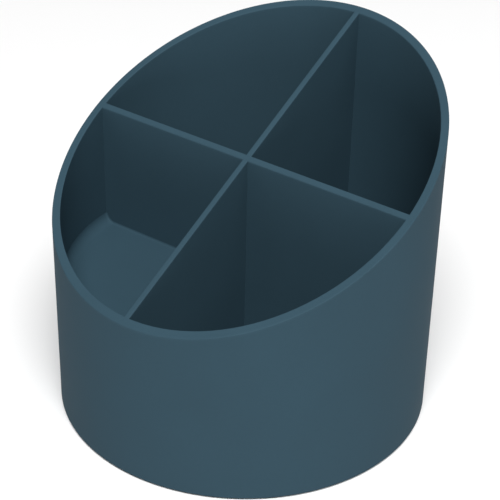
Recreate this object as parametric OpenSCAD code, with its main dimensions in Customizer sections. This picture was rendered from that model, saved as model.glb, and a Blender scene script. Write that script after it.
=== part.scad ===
// Round desk organizer: a cup with a slanted rim, split into four compartments by two
// crossed dividers. The compartment at the low left has a raised floor for small items.
// Millimetres, +Z up. The origin is the centre of the base, on the desk.
// +Y is the high side of the rim, so the cross divider runs along X with a level top edge,
// and the slope divider runs along Y with a slanted one.

/* [Cup] */
// Diameter of the cup across the foot of its wall
base_d = 100; // [90:1:120]
// Height of the rim above the desk, halfway up its slope
rim_mid_h = 71; // [60:1:90]
// Angle of the rim's plane to the desk
rim_angle = 26.3; // [10:0.1:32]
// Thickness of the wall at the rim
wall_t = 2.1; // [1.8:0.1:3]
// Draft of the wall's outer face, in degrees
outer_draft = 0.25; // [0:0.05:1]
// Draft of the wall's inner face, in degrees
inner_draft = 0.4; // [0.25:0.05:1]
// Thickness of the floor
floor_t = 2.1; // [1.8:0.1:3]
// Radius of the fillet between the floor and the wall
floor_fillet = 0.5; // [0.5:0.5:6]

/* [Dividers] */
// Thickness of each divider
divider_t = 1.6; // [1.2:0.1:2.4]
// Depth of the grooves in the wall that hold the dividers' ends
groove_depth = 0.8; // [0.4:0.1:1]
// Depth of the channels in the floor that the dividers stand in
channel_depth = 0.6; // [0.3:0.1:1]
// Clearance on each side of a divider in its groove, channel or notch
fit_gap = 0.05; // [0.02:0.01:0.2]

/* [Raised tray] */
// Height of the tray's floor above the desk
tray_h = 35.3; // [20:0.1:40]
// Thickness of the tray's floor
tray_t = 2; // [1.5:0.1:3]
// Radius of the cove between the tray's floor and the wall
tray_cove = 3; // [2:0.5:8]
// Thickness of the lip where the cove ends against the wall
tray_lip = 0.3; // [0.2:0.1:0.6]
// Clearance around the tray
tray_gap = 0.1; // [0.05:0.05:0.3]
// Thickness of the ribs on the wall that carry the tray
rib_t = 1.6; // [1.2:0.1:2.4]
// How far each rib stands in from the wall
rib_depth = 3; // [2:0.5:5]
// Radius of the post that carries the tray's inner corner
post_r = 2.5; // [2:0.5:4]

/* [Feet] */
// How far the pads lift the cup's foot ring off the desk
foot_lift = 0.5; // [0.3:0.1:1]
// Width of the foot ring around the underside
foot_ring_w = 4; // [3:0.5:6]
// Depth of the underside inside the foot ring
foot_recess = 0.8; // [0.5:0.1:1.5]
// Radius of each pad
pad_r = 5.5; // [4:0.5:8]
// Distance of each pad's centre from the axis
pad_ring_r = 35; // [20:1:36]
// Depth of the pocket that each pad is glued into
pad_pocket = 0.7; // [0.4:0.1:1]
// Clearance around each pad in its pocket
pad_gap = 0.1; // [0.05:0.05:0.3]

/* [Hidden] */
$fn = 96;

plastic = [0.20, 0.34, 0.41];
tray_plastic = [0.22, 0.37, 0.45];
rubber = [0.12, 0.12, 0.13];

base_r = base_d / 2;
// Longer than anything on the part, for cutting boxes and half spaces
reach = 2 * base_d;
// Height that the wall is made to before the rim is cut
blank_h = rim_mid_h + (base_r + 5) * tan(rim_angle);

underside_z = foot_lift + foot_recess;
floor_top = underside_z + floor_t;
divider_foot = floor_top - channel_depth;
// The two dividers are halved into each other at this height
lap_z = (divider_foot + rim_mid_h) / 2;
slot_w = divider_t + 2 * fit_gap;

pad_top = underside_z + pad_pocket;
// Height of the cove above the tray's floor at which it has thinned to the lip
lip_rise = tray_cove - sqrt(pow(tray_cove, 2) - pow(tray_cove - tray_lip, 2));
// The ribs stand here round the axis, in the low left compartment
rib_angles = [200, 225, 250];
// The post stands this far from both dividers
post_offset = divider_t / 2 + 2 * post_r;

function outer_r(z) = base_r + (z - foot_lift) * tan(outer_draft);
function inner_r(z) = outer_r(rim_mid_h) - wall_t + (z - rim_mid_h) * tan(inner_draft);

groove_end = inner_r(rim_mid_h) + groove_depth;
wall_foot_r = inner_r(floor_top + floor_fillet);

// All the space under the slanted plane of the rim
module under_rim() {
    translate([0, 0, rim_mid_h])
        rotate([rim_angle, 0, 0])
            translate([-reach, -reach, -2 * reach])
                cube(2 * reach);
}

// The space inside the wall, taken in by inset, from the floor to height top
module cavity(inset, top) {
    foot_r = wall_foot_r - inset;
    fillet_z = floor_top + floor_fillet;
    rotate_extrude() {
        polygon([
            [0, floor_top],
            [foot_r - floor_fillet, floor_top],
            [foot_r - floor_fillet, fillet_z],
            [foot_r, fillet_z],
            [inner_r(top) - inset, top],
            [0, top]
        ]);
        translate([foot_r - floor_fillet, fillet_z])
            intersection() {
                circle(r = floor_fillet);
                translate([0, -floor_fillet])
                    square(floor_fillet);
            }
    }
}

// A slot along X as wide as a divider and its clearance, up from height z
module divider_slot(z) {
    translate([-groove_end, -slot_w / 2, z])
        cube([2 * groove_end, slot_w, reach]);
}

// A divider's panel along X, from its foot to the rim's plane
module divider_panel() {
    half_length = groove_end - fit_gap;
    translate([-half_length, -divider_t / 2, divider_foot])
        cube([2 * half_length, divider_t, reach]);
}

// The ribs and the post that the tray stands on
module tray_supports() {
    support_top = tray_h - tray_t;
    for (angle = rib_angles)
        rotate([0, 0, angle])
            translate([wall_foot_r - rib_depth, -rib_t / 2, underside_z + floor_t / 2])
                cube([rib_depth + wall_t / 2, rib_t, support_top - underside_z - floor_t / 2]);
    translate([-post_offset, -post_offset, underside_z + floor_t / 2])
        cylinder(h = support_top - underside_z - floor_t / 2, r = post_r);
}

module pad_place(index) {
    rotate([0, 0, 45 + 90 * (index - 1)])
        translate([pad_ring_r, 0, 0])
            children();
}

// Wall and floor in one, with a groove or channel for each divider
module cup() {
    color(plastic)
    difference() {
        union() {
            difference() {
                translate([0, 0, foot_lift])
                    cylinder(h = blank_h - foot_lift, r1 = base_r, r2 = outer_r(blank_h));
                cavity(0, blank_h + 1);
            }
            tray_supports();
        }
        difference() {
            translate([-reach, -reach, 0])
                cube([2 * reach, 2 * reach, 2 * reach]);
            under_rim();
        }
        divider_slot(divider_foot);
        rotate([0, 0, 90])
            divider_slot(divider_foot);
        cylinder(h = underside_z, r = base_r - foot_ring_w);
        for (index = [1 : 4])
            pad_place(index)
                cylinder(h = pad_top, r = pad_r + pad_gap);
    }
}

// Level divider along X, notched from the top for the slope divider
module cross_divider() {
    color(plastic)
    difference() {
        intersection() {
            divider_panel();
            under_rim();
        }
        translate([-slot_w / 2, -divider_t, lap_z])
            cube([slot_w, 2 * divider_t, reach]);
    }
}

// Slanted divider along Y, notched from below for the cross divider
module slope_divider() {
    color(plastic)
    difference() {
        intersection() {
            rotate([0, 0, 90])
                divider_panel();
            under_rim();
        }
        translate([-divider_t, -slot_w / 2, divider_foot - 1])
            cube([2 * divider_t, slot_w, lap_z - divider_foot + 1]);
    }
}

// Raised floor of the low left compartment, coved up to the wall
module raised_tray() {
    side = divider_t / 2 + tray_gap;
    cove_r = inner_r(tray_h + tray_cove) - tray_gap - tray_cove;
    color(tray_plastic)
    difference() {
        intersection() {
            cavity(tray_gap, blank_h);
            translate([-base_r - side, -base_r - side, tray_h - tray_t])
                cube([base_r, base_r, tray_t + lip_rise]);
        }
        rotate_extrude() {
            translate([0, tray_h])
                square([cove_r, tray_cove]);
            translate([cove_r, tray_h + tray_cove])
                circle(r = tray_cove);
        }
    }
}

// Non-slip pad, glued into its pocket under the floor
module foot_pad(index) {
    color(rubber)
    pad_place(index)
        cylinder(h = pad_top, r = pad_r);
}

cup();
cross_divider();
slope_divider();
raised_tray();
foot_pad(1);  // foot_pad_1
foot_pad(2);  // foot_pad_2
foot_pad(3);  // foot_pad_3
foot_pad(4);  // foot_pad_4
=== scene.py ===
"""Desk organizer: a round pen cup with a slanted rim, crossed dividers and a raised tray.

Laid out as an add-on: the panel's properties hold the sizes, colours and light, and each
operator makes one piece, or one group of like pieces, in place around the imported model.
Lengths are in metres. +Y is the high side of the rim.
"""

from math import atan, cos, radians, sin, tan

import bmesh
import bpy
from bpy.props import FloatProperty, FloatVectorProperty, IntProperty, PointerProperty
from mathutils import Matrix, Vector


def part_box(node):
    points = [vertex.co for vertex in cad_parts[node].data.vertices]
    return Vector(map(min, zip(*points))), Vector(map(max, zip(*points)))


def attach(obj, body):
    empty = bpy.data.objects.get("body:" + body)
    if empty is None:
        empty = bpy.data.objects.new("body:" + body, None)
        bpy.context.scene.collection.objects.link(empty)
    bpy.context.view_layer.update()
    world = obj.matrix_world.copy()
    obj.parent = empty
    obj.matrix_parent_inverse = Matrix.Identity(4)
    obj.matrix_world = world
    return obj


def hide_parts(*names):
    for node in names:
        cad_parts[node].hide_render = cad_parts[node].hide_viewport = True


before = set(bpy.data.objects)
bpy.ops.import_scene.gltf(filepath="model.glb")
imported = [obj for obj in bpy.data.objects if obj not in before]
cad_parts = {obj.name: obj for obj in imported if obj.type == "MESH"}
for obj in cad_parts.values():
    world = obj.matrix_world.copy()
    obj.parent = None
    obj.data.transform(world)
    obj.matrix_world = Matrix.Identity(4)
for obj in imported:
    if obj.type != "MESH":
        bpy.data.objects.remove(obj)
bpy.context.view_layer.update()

bl_info = {
    "name": "Slanted Desk Organizer",
    "version": (1, 0, 0),
    "blender": (4, 5, 0),
    "location": "3D View > Sidebar > Organizer",
    "description": "Makes a four-compartment pen cup with a slanted rim, piece by piece",
    "category": "Object",
}

# ---------------------------------------------------------------- places from the frame

MM = 0.001
CUP_LOW, CUP_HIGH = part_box("cup")
CROSS_LOW, CROSS_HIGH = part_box("cross_divider")
SLOPE_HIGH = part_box("slope_divider")[1]
TRAY_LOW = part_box("raised_tray")[0]
PADS = ("foot_pad_1", "foot_pad_2", "foot_pad_3", "foot_pad_4")

DIVIDER_T = CROSS_HIGH.y - CROSS_LOW.y
DIVIDER_FOOT = CROSS_LOW.z
GROOVE_END = SLOPE_HIGH.y
# The rim's plane passes through the top edges of both dividers
RIM_SLOPE = (SLOPE_HIGH.z - CROSS_HIGH.z) / (SLOPE_HIGH.y - CROSS_HIGH.y)
RIM_MID = CROSS_HIGH.z - CROSS_HIGH.y * RIM_SLOPE
RIM_ANGLE = atan(RIM_SLOPE)
RIM_POINT = Vector((0, 0, RIM_MID))
RIM_NORMAL = Vector((0, -sin(RIM_ANGLE), cos(RIM_ANGLE)))
LAP_Z = (DIVIDER_FOOT + RIM_MID) / 2
# The ribs under the tray stand at these angles round the axis
RIB_ANGLES = [radians(angle) for angle in (200, 225, 250)]

FOOT_Z = CUP_LOW.z
BASE_R = max(
    vert.co.xy.length
    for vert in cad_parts["cup"].data.vertices
    if vert.co.z < FOOT_Z + 0.01 * MM
)
# The uncut wall stands this far above the finished one, and the cores that hollow it this
# far above the uncut wall
CLEAR = 10 * MM
# The tray's supports and the pads' pockets start this far past the face they stand on or cut
OVERLAP = 1 * MM
BLANK_TOP = CUP_HIGH.z + CLEAR
# Points beyond this radius lie along the wall
WALL_ZONE = 0.9 * BASE_R

# Faces closer than this count as lying in one plane
NEAR = 0.005 * MM
# Points closer than this are merged when a piece is finished
MERGE = 0.0005 * MM
# Faces that meet at more than this form a corner
CORNER = radians(30)
SMOOTH_ANGLE = radians(32)
EDGE_SEGMENTS = 4
FLOOR_SEGMENTS = 3
COVE_SEGMENTS = 12
PAD_FACETS = 64
POST_FACETS = 32

# Grip rings under the foot pads
RINGS = 3
RING_SPACING = 0.9 * MM
RING_WIDTH = 0.3 * MM
RING_FLANK = 0.15 * MM
RING_DEPTH = 0.25 * MM
PAD_ROUND = 0.5 * MM

FLOOR_SIZE = 6
LAMP_DISTANCE = 2
KEY_SIZE = 1.2
KEY_ELEVATION = radians(60)
SIDE_SIZE = 1.6
SIDE_AZIMUTH = radians(92)
SIDE_ELEVATION = radians(50)
SENSOR = 36
CLIP_NEAR = 0.01
CLIP_FAR = 20


# ---------------------------------------------------------------- properties


class OrganizerSizes(bpy.types.PropertyGroup):
    """Sizes of the moulding that the frame doesn't already give."""

    wall: FloatProperty(
        name="Wall",
        description="Thickness of the wall at the rim",
        default=2.1 * MM,
        min=1.5 * MM,
        max=3 * MM,
        unit="LENGTH",
    )
    outer_draft: FloatProperty(
        name="Outer draft",
        description="Lean of the wall's outer face",
        default=radians(0.25),
        unit="ROTATION",
    )
    inner_draft: FloatProperty(
        name="Inner draft",
        description="Lean of the wall's inner face",
        default=radians(0.4),
        unit="ROTATION",
    )
    channel: FloatProperty(
        name="Channel",
        description="Depth of the channels in the floor that the dividers stand in",
        default=0.6 * MM,
        unit="LENGTH",
    )
    floor_round: FloatProperty(
        name="Floor fillet",
        description="Radius where the wall and the dividers stand on the floor",
        default=0.5 * MM,
        unit="LENGTH",
    )
    rim_round: FloatProperty(
        name="Rim rounding",
        description="Radius along the edges of the rim and the dividers",
        default=0.25 * MM,
        unit="LENGTH",
    )
    foot_round: FloatProperty(
        name="Foot rounding",
        description="Radius along the edges of the foot ring",
        default=0.35 * MM,
        unit="LENGTH",
    )
    foot_ring: FloatProperty(
        name="Foot ring",
        description="Width of the ring that runs round the underside",
        default=4 * MM,
        unit="LENGTH",
    )
    foot_recess: FloatProperty(
        name="Foot recess",
        description="Depth of the underside inside the foot ring",
        default=0.8 * MM,
        unit="LENGTH",
    )
    tray_floor: FloatProperty(
        name="Tray floor",
        description="Thickness of the raised tray's floor",
        default=2 * MM,
        unit="LENGTH",
    )
    tray_cove: FloatProperty(
        name="Tray cove",
        description="Radius of the cove between the tray's floor and the wall",
        default=3 * MM,
        unit="LENGTH",
    )
    tray_foot_round: FloatProperty(
        name="Tray foot fillet",
        description="Radius where the dividers stand on the tray's floor",
        default=0.6 * MM,
        unit="LENGTH",
    )
    tray_lip: FloatProperty(
        name="Tray lip",
        description="Thickness of the cove's edge against the wall",
        default=0.03 * MM,
        unit="LENGTH",
    )
    rib_t: FloatProperty(
        name="Rib",
        description="Thickness of the ribs that carry the tray",
        default=1.6 * MM,
        unit="LENGTH",
    )
    rib_depth: FloatProperty(
        name="Rib depth",
        description="How far the ribs stand in from the wall",
        default=3 * MM,
        unit="LENGTH",
    )
    post_r: FloatProperty(
        name="Post",
        description="Radius of the post that carries the tray's inner corner",
        default=2.5 * MM,
        unit="LENGTH",
    )
    pad_gap: FloatProperty(
        name="Pad gap",
        description="Clearance round each foot pad in its pocket",
        default=0.1 * MM,
        unit="LENGTH",
    )
    facets: IntProperty(
        name="Facets",
        description="Facets round the inside of the wall; the outside has twice as many",
        default=120,
        min=48,
        max=240,
    )

    def outer_radius(self, z):
        return BASE_R + (z - FOOT_Z) * tan(self.outer_draft)

    def inner_radius(self, z):
        at_rim = self.outer_radius(RIM_MID) - self.wall
        return at_rim + (z - RIM_MID) * tan(self.inner_draft)

    def floor_z(self):
        return DIVIDER_FOOT + self.channel

    def tray_z(self):
        return TRAY_LOW.z + self.tray_floor


class OrganizerFinish(bpy.types.PropertyGroup):
    """Colours and surface of the plastic and the rubber."""

    plastic: FloatVectorProperty(
        name="Plastic",
        description="Colour of the moulded plastic",
        subtype="COLOR",
        size=3,
        default=(0.0304, 0.064, 0.0872),
        min=0,
        max=1,
    )
    plastic_roughness: FloatProperty(
        name="Plastic roughness",
        description="How dull the moulded plastic is",
        subtype="FACTOR",
        default=0.75,
        min=0,
        max=1,
    )
    plastic_specular: FloatProperty(
        name="Plastic shine",
        description="Strength of the plastic's reflections",
        subtype="FACTOR",
        default=0.08,
        min=0,
        max=1,
    )
    grain: FloatProperty(
        name="Grain",
        description="Size of the fine texture that the mould leaves",
        default=0.35 * MM,
        unit="LENGTH",
    )
    rubber: FloatVectorProperty(
        name="Rubber",
        description="Colour of the foot pads",
        subtype="COLOR",
        size=3,
        default=(0.018, 0.018, 0.02),
        min=0,
        max=1,
    )


class OrganizerStage(bpy.types.PropertyGroup):
    """Floor, light and camera."""

    floor: FloatVectorProperty(
        name="Floor",
        description="Colour of the floor",
        subtype="COLOR",
        size=3,
        default=(0.94, 0.94, 0.94),
        min=0,
        max=1,
    )
    sky: FloatProperty(
        name="Sky",
        description="Strength of the light from all round",
        default=0.14,
        min=0,
    )
    key_light: FloatProperty(
        name="Key light",
        description="Power of the large lamp above the camera",
        default=50.0,
        min=0,
        unit="POWER",
    )
    side_light: FloatProperty(
        name="Side light",
        description="Power of the lamp to the right of the camera",
        default=7.0,
        min=0,
        unit="POWER",
    )
    target: FloatVectorProperty(
        name="Target",
        description="Point that the camera looks at",
        subtype="XYZ",
        size=3,
        default=(1.03 * MM, 0.75 * MM, 43.4 * MM),
        unit="LENGTH",
    )
    distance: FloatProperty(
        name="Distance",
        description="From the camera to its target",
        default=429.8 * MM,
        unit="LENGTH",
    )
    azimuth: FloatProperty(
        name="Azimuth",
        description="Direction of the camera round the cup",
        default=radians(36.03),
        unit="ROTATION",
    )
    elevation: FloatProperty(
        name="Elevation",
        description="Height of the camera above the horizon",
        default=radians(31.37),
        unit="ROTATION",
    )
    roll: FloatProperty(
        name="Roll",
        description="Tilt of the camera about its own view",
        default=radians(1.26),
        unit="ROTATION",
    )
    lens: FloatProperty(
        name="Lens",
        description="Focal length in millimetres, on a 36 mm sensor",
        default=117.2,
        min=10,
    )


# ---------------------------------------------------------------- working in edit mode


def pick(obj):
    """Makes obj the only selected object."""
    for other in bpy.context.selected_objects:
        other.select_set(False)
    obj.select_set(True)
    bpy.context.view_layer.objects.active = obj


def place(obj):
    """Moves obj's place, turn and scale into its mesh."""
    pick(obj)
    bpy.ops.object.transform_apply(location=True, rotation=True, scale=True)


def edit(obj, kind):
    """Enters edit mode with nothing selected and returns the mesh being edited."""
    pick(obj)
    bpy.ops.object.mode_set(mode="EDIT")
    bpy.ops.mesh.select_mode(type=kind)
    bpy.ops.mesh.select_all(action="DESELECT")
    return bmesh.from_edit_mesh(obj.data)


def leave():
    bpy.ops.object.mode_set(mode="OBJECT")


def choose(obj, items, test):
    """Selects those of the edited mesh's verts, edges or faces that pass the test."""
    chosen = [item for item in items if test(item)]
    if not chosen:
        raise RuntimeError(f"nothing on {obj.name} passes the test")
    for item in chosen:
        item.select_set(True)
    bmesh.update_edit_mesh(obj.data)


def faces_down(face):
    return face.normal.z < -0.9


def bevel_edges(obj, offset, segments, test):
    mesh = edit(obj, "EDGE")
    choose(obj, mesh.edges, test)
    bpy.ops.mesh.bevel(
        offset=offset, offset_type="OFFSET", segments=segments, profile=0.5, clamp_overlap=False
    )
    leave()


def cut_off(obj, point, normal):
    """Removes what lies on the normal's side of a plane and closes the cut."""
    edit(obj, "VERT")
    bpy.ops.mesh.select_all(action="SELECT")
    bpy.ops.mesh.bisect(plane_co=point, plane_no=normal, use_fill=True, clear_outer=True)
    leave()


def combine(obj, tool, operation):
    """Applies a Boolean of obj with tool, then removes tool."""
    pick(obj)
    modifier = obj.modifiers.new("combine", "BOOLEAN")
    modifier.operation = operation
    modifier.solver = "EXACT"
    modifier.object = tool
    bpy.ops.object.modifier_apply(modifier=modifier.name)
    bpy.data.objects.remove(tool)


def round_bar(name, radius, low, high, facets, x=0.0, y=0.0):
    """A closed cylinder between two heights, placed in its mesh."""
    bpy.ops.mesh.primitive_cylinder_add(
        vertices=facets, radius=radius, depth=high - low, location=(x, y, (low + high) / 2)
    )
    bar = bpy.context.object
    bar.name = name
    place(bar)
    return bar


def block(name, low, high):
    """A closed box between two corners, placed in its mesh."""
    low, high = Vector(low), Vector(high)
    bpy.ops.mesh.primitive_cube_add(size=1, location=(low + high) / 2)
    box = bpy.context.object
    box.name = name
    box.scale = high - low
    place(box)
    return box


def widen_top(bar, factor):
    """Gives a cylinder its draft by scaling its top ring."""
    middle = sum(vert.co.z for vert in bar.data.vertices) / len(bar.data.vertices)
    mesh = edit(bar, "VERT")
    choose(bar, mesh.verts, lambda vert: vert.co.z > middle)
    bpy.ops.transform.resize(value=(factor, factor, 1))
    leave()


# ---------------------------------------------------------------- the moulding


def wall_blank(sizes):
    """The cup's outside as a solid: drafted wall, foot ring underneath and slanted top."""
    blank = round_bar("wall_blank", BASE_R, FOOT_Z, BLANK_TOP, 2 * sizes.facets)
    widen_top(blank, sizes.outer_radius(BLANK_TOP) / BASE_R)
    mesh = edit(blank, "FACE")
    choose(blank, mesh.faces, faces_down)
    bpy.ops.mesh.inset(thickness=sizes.foot_ring, depth=0)
    bpy.ops.mesh.extrude_region_move(TRANSFORM_OT_translate={"value": (0, 0, sizes.foot_recess)})
    leave()
    cut_off(blank, RIM_POINT, RIM_NORMAL)

    def on_foot_ring(edge):
        ring = all(vert.co.z < FOOT_Z + NEAR for vert in edge.verts)
        return ring and edge.calc_face_angle() > CORNER

    bevel_edges(blank, sizes.foot_round, EDGE_SEGMENTS, on_foot_ring)
    return blank


def compartment_core(sizes, side_x, side_y, floor):
    """The space of one compartment, cut from a drafted cylinder by the two dividers."""
    top = BLANK_TOP + CLEAR
    core = round_bar("core", sizes.inner_radius(floor), floor, top, sizes.facets)
    widen_top(core, sizes.inner_radius(top) / sizes.inner_radius(floor))
    cut_off(core, (side_x * DIVIDER_T / 2, 0, 0), (-side_x, 0, 0))
    cut_off(core, (0, side_y * DIVIDER_T / 2, 0), (0, -side_y, 0))
    return core


def rounded_core(sizes, side_x, side_y):
    """A core with its fillet along the floor."""
    floor = sizes.floor_z()
    core = compartment_core(sizes, side_x, side_y, floor)

    def on_floor(edge):
        return all(vert.co.z < floor + NEAR for vert in edge.verts)

    bevel_edges(core, sizes.floor_round, FLOOR_SEGMENTS, on_floor)
    return core


def whole_moulding(sizes):
    """Wall, floor and dividers as one solid, with the rim's edges rounded.

    The cup and both dividers are each cut from one of these, so they meet without a step.
    """
    whole = wall_blank(sizes)
    for side_x in (-1, 1):
        for side_y in (-1, 1):
            combine(whole, rounded_core(sizes, side_x, side_y), "DIFFERENCE")

    def on_rim(edge):
        in_plane = all(
            abs((vert.co - RIM_POINT).dot(RIM_NORMAL)) < NEAR for vert in edge.verts
        )
        return in_plane and edge.calc_face_angle(0) > CORNER

    bevel_edges(whole, sizes.rim_round, EDGE_SEGMENTS, on_rim)
    return whole


def tray_core(sizes, floor):
    """The space above the tray: coved along the wall, with a small fillet at the dividers."""
    core = compartment_core(sizes, -1, -1, floor)

    def arc_on_floor(edge):
        on_floor = all(vert.co.z < floor + NEAR for vert in edge.verts)
        return on_floor and all(vert.co.xy.length > WALL_ZONE for vert in edge.verts)

    bevel_edges(core, sizes.tray_cove, COVE_SEGMENTS, arc_on_floor)

    def along_divider(edge):
        low = all(vert.co.z < floor + sizes.tray_cove + NEAR for vert in edge.verts)
        return low and edge.calc_face_angle() > CORNER

    bevel_edges(core, sizes.tray_foot_round, EDGE_SEGMENTS, along_divider)
    return core


def divider_slab(along_x):
    """The flat space that a divider fills, from its channel to above the rim."""
    half_t = DIVIDER_T / 2 + 2 * NEAR
    half = Vector((GROOVE_END, half_t) if along_x else (half_t, GROOVE_END))
    return block(
        "divider_slab", (-half.x, -half.y, DIVIDER_FOOT), (half.x, half.y, BLANK_TOP)
    )


def lap_notch(along_x, low, high):
    """The space at the crossing that one divider leaves to the other."""
    half_t = DIVIDER_T / 2 + 2 * NEAR
    half = Vector((half_t, 2 * half_t) if along_x else (2 * half_t, half_t))
    return block("lap_notch", (-half.x, -half.y, low), (half.x, half.y, high))


def add_tray_supports(cup, sizes):
    """Stands the tray's three ribs and its corner post on the cup's floor."""
    foot = sizes.floor_z() - OVERLAP
    inner = sizes.inner_radius(sizes.floor_z())
    for angle in RIB_ANGLES:
        low = (inner - sizes.rib_depth, -sizes.rib_t / 2, foot)
        rib = block("rib", low, (inner + sizes.wall / 2, sizes.rib_t / 2, TRAY_LOW.z))
        rib.rotation_euler.z = angle
        place(rib)
        combine(cup, rib, "UNION")
    corner = -DIVIDER_T / 2 - 2 * sizes.post_r
    post = round_bar("post", sizes.post_r, foot, TRAY_LOW.z, POST_FACETS, corner, corner)
    combine(cup, post, "UNION")


def cut_pad_pockets(cup, sizes):
    """Sinks a round pocket for each foot pad into the underside."""
    for name in PADS:
        low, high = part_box(name)
        middle = (low + high) / 2
        radius = (high.x - low.x) / 2 + sizes.pad_gap
        pocket = round_bar(
            "pocket", radius, low.z - OVERLAP, high.z, PAD_FACETS, middle.x, middle.y
        )
        combine(cup, pocket, "DIFFERENCE")


def smooth(obj):
    """Smooth curved faces, with flat ones kept flat and corners kept sharp."""
    pick(obj)
    bpy.ops.object.shade_smooth_by_angle(angle=SMOOTH_ANGLE)
    modifier = obj.modifiers.new("weighted", "WEIGHTED_NORMAL")
    modifier.keep_sharp = True
    modifier.weight = 100
    bpy.ops.object.modifier_apply(modifier=modifier.name)


def finish_piece(obj, name, nodes, material):
    """Names a finished piece, gives it its material and joins it to the frame."""
    obj.name = name
    obj.data.name = name
    edit(obj, "VERT")
    bpy.ops.mesh.select_all(action="SELECT")
    bpy.ops.mesh.remove_doubles(threshold=MERGE)
    bpy.ops.mesh.select_all(action="DESELECT")
    leave()
    smooth(obj)
    obj.data.materials.clear()
    obj.data.materials.append(material)
    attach(obj, "root")
    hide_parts(*nodes)


# ---------------------------------------------------------------- materials


def add_node(tree, kind, **values):
    """Adds a shader node. Each value sets the property of its name, or else that input."""
    node = tree.nodes.new(kind)
    for name, value in values.items():
        if hasattr(node, name):
            setattr(node, name, value)
        else:
            node.inputs[name.replace("_", " ")].default_value = value
    return node


def new_material(name):
    material = bpy.data.materials.get(name)
    if material:
        return material, None
    material = bpy.data.materials.new(name)
    material.use_nodes = True
    return material, material.node_tree


def moulded_plastic(finish):
    """Matt moulded plastic: a fine mould texture, faint clouding of the colour, dull and
    slightly polished patches, and a band along the rim's top that handling has polished and that
    is painted lighter, partly as wear and partly as a painted highlight where the top faces the
    light."""
    material, tree = new_material("matt_teal_plastic")
    if tree is None:
        return material
    link = tree.links.new
    shader = tree.nodes["Principled BSDF"]
    shader.inputs["Specular IOR Level"].default_value = finish.plastic_specular
    coords = add_node(tree, "ShaderNodeTexCoord").outputs["Object"]

    clouds = add_node(tree, "ShaderNodeTexNoise", Scale=45.0, Detail=3.0)
    specks = add_node(tree, "ShaderNodeTexNoise", Scale=900.0, Detail=2.0)
    grain = add_node(tree, "ShaderNodeTexNoise", Scale=1 / finish.grain, Detail=3.0)
    for texture in (clouds, specks, grain):
        link(coords, texture.inputs["Vector"])

    mottle = add_node(tree, "ShaderNodeMix", data_type="FLOAT")
    mottle.inputs[0].default_value = 0.3
    link(clouds.outputs["Fac"], mottle.inputs[2])
    link(specks.outputs["Fac"], mottle.inputs[3])
    ramp = add_node(tree, "ShaderNodeValToRGB")
    base = Vector(finish.plastic)
    for stop, position, shade in zip(ramp.color_ramp.elements, (0.3, 0.7), (0.955, 1.045)):
        stop.position = position
        stop.color = (*(base * shade), 1)
    link(mottle.outputs[0], ramp.inputs["Fac"])

    # A mask that rises from zero to one in a narrow band under the rim's plane, where hands
    # touch. It carries both wear and a painted highlight: it lifts the colour of the rim's top
    # strip, which faces the light, and makes it a little glossier.
    wear_and_highlight_band = 0.8 * MM
    height = add_node(tree, "ShaderNodeVectorMath", operation="DOT_PRODUCT")
    link(coords, height.inputs[0])
    height.inputs[1].default_value = RIM_NORMAL
    edge = add_node(tree, "ShaderNodeMapRange")
    link(height.outputs["Value"], edge.inputs["Value"])
    rim_level = RIM_POINT.dot(RIM_NORMAL)
    edge.inputs["From Min"].default_value = rim_level - wear_and_highlight_band
    edge.inputs["From Max"].default_value = rim_level
    wear_and_highlight_mask = add_node(tree, "ShaderNodeMath", operation="MULTIPLY")
    link(edge.outputs["Result"], wear_and_highlight_mask.inputs[0])
    link(clouds.outputs["Fac"], wear_and_highlight_mask.inputs[1])

    # Painted highlight mixed with wear: the colour along the rim's top is lifted 12% lighter
    wear_and_highlight_colour = add_node(tree, "ShaderNodeMix", data_type="RGBA")
    link(wear_and_highlight_mask.outputs[0], wear_and_highlight_colour.inputs["Factor"])
    link(ramp.outputs["Color"], wear_and_highlight_colour.inputs[6])
    wear_and_highlight_colour.inputs[7].default_value = (*(base * 1.12), 1)
    link(wear_and_highlight_colour.outputs[2], shader.inputs["Base Color"])

    rough = add_node(tree, "ShaderNodeMapRange")
    link(mottle.outputs[0], rough.inputs["Value"])
    rough.inputs["From Min"].default_value = 0.3
    rough.inputs["From Max"].default_value = 0.7
    rough.inputs["To Min"].default_value = finish.plastic_roughness - 0.05
    rough.inputs["To Max"].default_value = finish.plastic_roughness + 0.05
    polish = add_node(tree, "ShaderNodeMath", operation="MULTIPLY_ADD")
    link(wear_and_highlight_mask.outputs[0], polish.inputs[0])
    polish.inputs[1].default_value = -0.12
    link(rough.outputs["Result"], polish.inputs[2])
    link(polish.outputs[0], shader.inputs["Roughness"])

    bump = add_node(tree, "ShaderNodeBump", Strength=0.12, Distance=0.04 * MM)
    link(grain.outputs["Fac"], bump.inputs["Height"])
    link(bump.outputs["Normal"], shader.inputs["Normal"])
    return material


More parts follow.
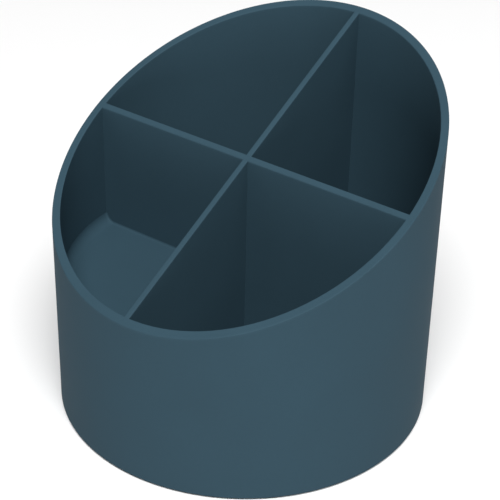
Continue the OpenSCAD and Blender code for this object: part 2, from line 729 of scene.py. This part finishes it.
def pad_rubber(finish):
    """Dull black rubber with a fine pebble and a little dust."""
    material, tree = new_material("dull_pad_rubber")
    if tree is None:
        return material
    link = tree.links.new
    shader = tree.nodes["Principled BSDF"]
    shader.inputs["Specular IOR Level"].default_value = 0.3
    coords = add_node(tree, "ShaderNodeTexCoord").outputs["Object"]
    dust = add_node(tree, "ShaderNodeTexNoise", Scale=260.0, Detail=4.0)
    pebble = add_node(tree, "ShaderNodeTexVoronoi", Scale=2200.0)
    for texture in (dust, pebble):
        link(coords, texture.inputs["Vector"])
    ramp = add_node(tree, "ShaderNodeValToRGB")
    base = Vector(finish.rubber)
    ramp.color_ramp.elements[0].position = 0.4
    ramp.color_ramp.elements[0].color = (*base, 1)
    ramp.color_ramp.elements[1].position = 0.85
    ramp.color_ramp.elements[1].color = (*(base * 2.6), 1)
    link(dust.outputs["Fac"], ramp.inputs["Fac"])
    link(ramp.outputs["Color"], shader.inputs["Base Color"])
    rough = add_node(tree, "ShaderNodeMapRange")
    link(dust.outputs["Fac"], rough.inputs["Value"])
    rough.inputs["To Min"].default_value = 0.72
    rough.inputs["To Max"].default_value = 0.9
    link(rough.outputs["Result"], shader.inputs["Roughness"])
    bump = add_node(tree, "ShaderNodeBump", Strength=0.3, Distance=0.05 * MM)
    link(pebble.outputs["Distance"], bump.inputs["Height"])
    link(bump.outputs["Normal"], shader.inputs["Normal"])
    return material


def stage_white(stage):
    """Smooth white card for the floor."""
    material, tree = new_material("stage_white")
    if tree is None:
        return material
    shader = tree.nodes["Principled BSDF"]
    shader.inputs["Base Color"].default_value = (*stage.floor, 1)
    shader.inputs["Roughness"].default_value = 0.9
    shader.inputs["Specular IOR Level"].default_value = 0.1
    return material


# ---------------------------------------------------------------- one operator per piece


def direction(azimuth, elevation):
    """The way out to a point seen at an azimuth, counted from the front towards +X."""
    across = cos(elevation)
    return Vector((sin(azimuth) * across, -cos(azimuth) * across, sin(elevation)))


def add_lamp(name, power, size, middle, away):
    """A round soft lamp, placed out from the middle and turned to face it."""
    bpy.ops.object.light_add(type="AREA", location=middle + LAMP_DISTANCE * away)
    lamp = bpy.context.object
    lamp.name = name
    lamp.data.shape = "DISK"
    lamp.data.size = size
    lamp.data.energy = power
    lamp.rotation_euler = away.to_track_quat("Z", "Y").to_euler()


class ORGANIZER_OT_cup(bpy.types.Operator):
    """Makes the cup: its wall and floor, with grooves for the dividers, supports for the
    tray and pockets for the pads"""

    bl_idname = "organizer.cup"
    bl_label = "Cup"

    def execute(self, context):
        sizes = context.scene.organizer_sizes
        cup = whole_moulding(sizes)
        combine(cup, divider_slab(True), "DIFFERENCE")
        combine(cup, divider_slab(False), "DIFFERENCE")
        add_tray_supports(cup, sizes)
        cut_pad_pockets(cup, sizes)
        finish_piece(
            cup,
            "cup_shell",
            ["cup"],
            moulded_plastic(context.scene.organizer_finish),
        )
        return {"FINISHED"}


class ORGANIZER_OT_cross_divider(bpy.types.Operator):
    """Makes the level divider, notched from above where the slanted one crosses it"""

    bl_idname = "organizer.cross_divider"
    bl_label = "Cross Divider"

    def execute(self, context):
        panel = whole_moulding(context.scene.organizer_sizes)
        combine(panel, divider_slab(True), "INTERSECT")
        combine(panel, lap_notch(True, LAP_Z, BLANK_TOP), "DIFFERENCE")
        finish_piece(
            panel,
            "cross_divider_panel",
            ["cross_divider"],
            moulded_plastic(context.scene.organizer_finish),
        )
        return {"FINISHED"}


class ORGANIZER_OT_slope_divider(bpy.types.Operator):
    """Makes the slanted divider, notched from below where the level one crosses it"""

    bl_idname = "organizer.slope_divider"
    bl_label = "Slope Divider"

    def execute(self, context):
        panel = whole_moulding(context.scene.organizer_sizes)
        combine(panel, divider_slab(False), "INTERSECT")
        combine(panel, lap_notch(False, 0, LAP_Z), "DIFFERENCE")
        finish_piece(
            panel,
            "slope_divider_panel",
            ["slope_divider"],
            moulded_plastic(context.scene.organizer_finish),
        )
        return {"FINISHED"}


class ORGANIZER_OT_raised_tray(bpy.types.Operator):
    """Makes the raised floor of the low left compartment, coved up to the wall"""

    bl_idname = "organizer.raised_tray"
    bl_label = "Raised Tray"

    def execute(self, context):
        sizes = context.scene.organizer_sizes
        cove = sizes.tray_cove
        tray = compartment_core(sizes, -1, -1, sizes.floor_z())
        lip_rise = cove - (cove**2 - (cove - sizes.tray_lip) ** 2) ** 0.5
        slab = block(
            "tray_slab", (-BASE_R, -BASE_R, TRAY_LOW.z), (0, 0, sizes.tray_z() + lip_rise)
        )
        combine(tray, slab, "INTERSECT")
        combine(tray, tray_core(sizes, sizes.tray_z()), "DIFFERENCE")
        finish_piece(
            tray,
            "raised_tray_floor",
            ["raised_tray"],
            moulded_plastic(context.scene.organizer_finish),
        )
        return {"FINISHED"}


class ORGANIZER_OT_foot_pads(bpy.types.Operator):
    """Makes the four foot pads, each with its edge rounded and rings that grip the desk"""

    bl_idname = "organizer.foot_pads"
    bl_label = "Foot Pads"

    def execute(self, context):
        low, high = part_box(PADS[0])
        middle, radius = (low + high) / 2, (high.x - low.x) / 2
        pad = round_bar("foot_pad", radius, low.z, high.z, PAD_FACETS)
        mesh = edit(pad, "FACE")
        choose(pad, mesh.faces, faces_down)
        for _ in range(RINGS):
            bpy.ops.mesh.inset(thickness=RING_SPACING, depth=0)
            bpy.ops.mesh.inset(thickness=RING_FLANK, depth=-RING_DEPTH)
            bpy.ops.mesh.inset(thickness=RING_WIDTH, depth=0)
            bpy.ops.mesh.inset(thickness=RING_FLANK, depth=RING_DEPTH)
        leave()

        def on_rim(edge):
            flat = all(vert.co.z < low.z + NEAR for vert in edge.verts)
            return flat and all(vert.co.xy.length > radius - NEAR for vert in edge.verts)

        bevel_edges(pad, PAD_ROUND, EDGE_SEGMENTS, on_rim)
        for name in PADS:
            pad_low, pad_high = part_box(name)
            copy = pad.copy()
            copy.data = pad.data.copy()
            context.collection.objects.link(copy)
            copy.location.xy = (pad_low + pad_high).xy / 2
            place(copy)
            finish_piece(
                copy,
                name + "_rubber",
                [name],
                pad_rubber(context.scene.organizer_finish),
            )
        bpy.data.objects.remove(pad)
        return {"FINISHED"}


class ORGANIZER_OT_stage(bpy.types.Operator):
    """Sets the floor, the light and the camera"""

    bl_idname = "organizer.stage"
    bl_label = "Stage"

    def execute(self, context):
        stage = context.scene.organizer_stage
        bpy.ops.mesh.primitive_plane_add(size=FLOOR_SIZE, location=(0, 0, 0))
        floor = context.object
        floor.name = "floor"
        floor.data.materials.append(stage_white(stage))

        world = bpy.data.worlds.new("studio")
        world.use_nodes = True
        background = world.node_tree.nodes["Background"]
        background.inputs["Color"].default_value = (1, 1, 1, 1)
        background.inputs["Strength"].default_value = stage.sky
        context.scene.world = world
        context.scene.view_settings.view_transform = "Standard"

        middle = Vector(stage.target)
        over_camera = direction(stage.azimuth, KEY_ELEVATION)
        add_lamp("key_lamp", stage.key_light, KEY_SIZE, middle, over_camera)
        from_side = direction(SIDE_AZIMUTH, SIDE_ELEVATION)
        add_lamp("side_lamp", stage.side_light, SIDE_SIZE, middle, from_side)

        back = direction(stage.azimuth, stage.elevation)
        bpy.ops.object.camera_add(location=middle + stage.distance * back)
        camera = context.object
        camera.name = "camera"
        turn = back.to_track_quat("Z", "Y").to_matrix() @ Matrix.Rotation(stage.roll, 3, "Z")
        camera.rotation_euler = turn.to_euler()
        camera.data.sensor_width = SENSOR
        camera.data.lens = stage.lens
        camera.data.clip_start = CLIP_NEAR
        camera.data.clip_end = CLIP_FAR
        context.scene.camera = camera
        return {"FINISHED"}


class ORGANIZER_PT_panel(bpy.types.Panel):
    """Lists the pieces and their sizes"""

    bl_idname = "ORGANIZER_PT_panel"
    bl_label = "Desk Organizer"
    bl_space_type = "VIEW_3D"
    bl_region_type = "UI"
    bl_category = "Organizer"

    def draw(self, context):
        layout = self.layout
        for group in (
            context.scene.organizer_sizes,
            context.scene.organizer_finish,
            context.scene.organizer_stage,
        ):
            box = layout.box()
            for name in group.__annotations__:
                box.prop(group, name)
        for operator in OPERATORS:
            layout.operator(operator.bl_idname)


OPERATORS = (
    ORGANIZER_OT_cup,
    ORGANIZER_OT_cross_divider,
    ORGANIZER_OT_slope_divider,
    ORGANIZER_OT_raised_tray,
    ORGANIZER_OT_foot_pads,
    ORGANIZER_OT_stage,
)
GROUPS = {
    "organizer_sizes": OrganizerSizes,
    "organizer_finish": OrganizerFinish,
    "organizer_stage": OrganizerStage,
}


def register():
    for group in GROUPS.values():
        bpy.utils.register_class(group)
    for name, group in GROUPS.items():
        setattr(bpy.types.Scene, name, PointerProperty(type=group))
    for operator in OPERATORS:
        bpy.utils.register_class(operator)
    bpy.utils.register_class(ORGANIZER_PT_panel)


def unregister():
    bpy.utils.unregister_class(ORGANIZER_PT_panel)
    for operator in reversed(OPERATORS):
        bpy.utils.unregister_class(operator)
    for name, group in GROUPS.items():
        delattr(bpy.types.Scene, name)
        bpy.utils.unregister_class(group)


def main():
    register()
    bpy.ops.organizer.cup()
    bpy.ops.organizer.cross_divider()
    bpy.ops.organizer.slope_divider()
    bpy.ops.organizer.raised_tray()
    bpy.ops.organizer.foot_pads()
    bpy.ops.organizer.stage()


if __name__ == "__main__":
    main()
